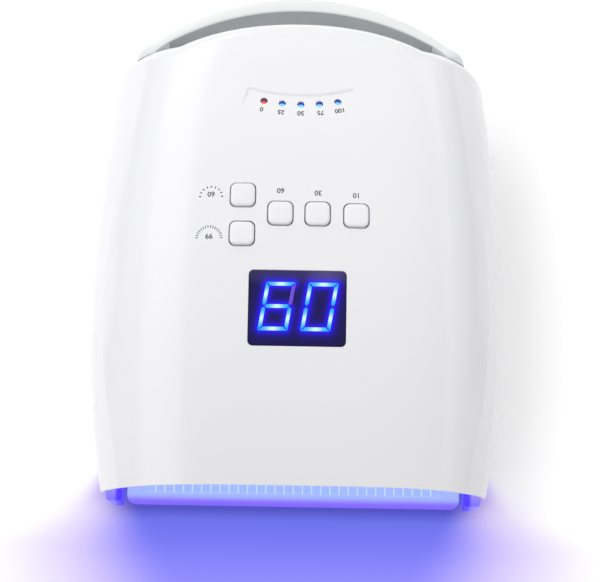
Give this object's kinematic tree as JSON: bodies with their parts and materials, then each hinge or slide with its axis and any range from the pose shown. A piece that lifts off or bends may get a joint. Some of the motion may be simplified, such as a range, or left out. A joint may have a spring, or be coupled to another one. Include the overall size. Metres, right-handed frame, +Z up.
{
  "type": "uv led nail lamp",
  "caption": "Cordless nail-curing lamp: arched hood with carry handle, keypad and timer display over a lit hand tunnel with a removable base tray.",
  "frame": {"origin": "centre of the footprint, on the surface that the lamp stands on", "axes": "+X to the right seen from the hand opening, +Y from the hand opening towards the carry handle, +Z up"},
  "size_m": [0.206, 0.256, 0.101],
  "materials": {
    "shell_white": "high gloss injection-moulded ABS",
    "handle_white": "satin moulded plastic",
    "handle_grey": "satin moulded plastic",
    "black_plastic": "fine texture",
    "smoked_window": "polished, smoked",
    "reflector_white": "high gloss",
    "mirror_plate": "ribbed, metallised",
    "circuit_board": "solder mask",
    "steel": "plated",
    "rubber": "matte",
    "cell_wrap": "shrink wrap",
    "red_lens": "diffused lamp, lit",
    "blue_lens": "diffused lamp, lit",
    "uv_lens": "domed emitters, lit",
    "lead_cover": "flexible insulation"
  },
  "bodies": {
    "housing": {"top_shell": "shell_white", "base_frame": "shell_white", "inner_reflector": "reflector_white", "carry_handle": "handle_white", "rear_panel": "handle_white", "handle_inner_cover": "handle_grey", "hand_sensor": "black_plastic", "display_module": "black_plastic", "display_window": "smoked_window", "battery_holder": "black_plastic", "dc_jack": "black_plastic", "power_switch_frame": "black_plastic", "control_board": "circuit_board", "charge_board": "circuit_board", "battery_lead": "lead_cover", "led_board_1": "uv_lens", "key_switch_1": "black_plastic", "gauge_lamp_1": "red_lens", "led_board_2": "uv_lens", "key_switch_2": "black_plastic", "gauge_lamp_2": "blue_lens", "led_board_3": "uv_lens", "key_switch_3": "black_plastic", "gauge_lamp_3": "blue_lens", "led_board_4": "uv_lens", "key_switch_4": "black_plastic", "gauge_lamp_4": "blue_lens", "led_board_5": "uv_lens", "key_switch_5": "black_plastic", "gauge_lamp_5": "blue_lens", "case_screw_1": "steel", "case_screw_2": "steel", "case_screw_3": "steel", "case_screw_4": "steel", "case_screw_5": "steel", "case_screw_6": "steel", "rubber_foot_front_left": "rubber", "rubber_foot_front_right": "rubber", "rubber_foot_rear_left": "rubber", "rubber_foot_rear_right": "rubber", "magnet_keeper_left": "steel", "handle_screw_left": "steel", "magnet_keeper_right": "steel", "handle_screw_right": "steel", "board_screw_1": "steel", "board_screw_2": "steel", "battery_cell_1": "cell_wrap", "battery_cell_2": "cell_wrap", "battery_cell_3": "cell_wrap", "battery_cell_4": "cell_wrap"},
    "tray": {"base_tray": "shell_white", "tray_mirror": "mirror_plate", "tray_magnet_left": "steel", "tray_magnet_right": "steel"},
    "power_rocker": {"power_rocker": "black_plastic"},
    "button_preset_60_side": {"button_preset_60_side": "shell_white"},
    "button_preset_99": {"button_preset_99": "shell_white"},
    "button_preset_60": {"button_preset_60": "shell_white"},
    "button_preset_30": {"button_preset_30": "shell_white"},
    "button_preset_10": {"button_preset_10": "shell_white"}
  },
  "joints": [
    {"name": "press_preset_60_side", "type": "slide", "parent": "housing", "child": "button_preset_60_side", "axis": [0, 0, -1], "range_m": [0, 0.0006], "stiffness_N_per_m": 3000},
    {"name": "press_preset_99", "type": "slide", "parent": "housing", "child": "button_preset_99", "axis": [0, 0, -1], "range_m": [0, 0.0006], "stiffness_N_per_m": 3000},
    {"name": "press_preset_60", "type": "slide", "parent": "housing", "child": "button_preset_60", "axis": [0, 0, -1], "range_m": [0, 0.0006], "stiffness_N_per_m": 3000},
    {"name": "press_preset_30", "type": "slide", "parent": "housing", "child": "button_preset_30", "axis": [0, 0, -1], "range_m": [0, 0.0006], "stiffness_N_per_m": 3000},
    {"name": "press_preset_10", "type": "slide", "parent": "housing", "child": "button_preset_10", "axis": [0, 0, -1], "range_m": [0, 0.0006], "stiffness_N_per_m": 3000},
    {"name": "power_rocker_tilt", "type": "hinge", "parent": "housing", "child": "power_rocker", "pos_m": [0.012, 0.094, 0.026], "axis": [0, 0, 1], "range_deg": [0, 24]},
    {"name": "tray_slide", "type": "slide", "parent": "housing", "child": "tray", "axis": [0, -1, 0], "range_m": [0, 0.2]}
  ]
}
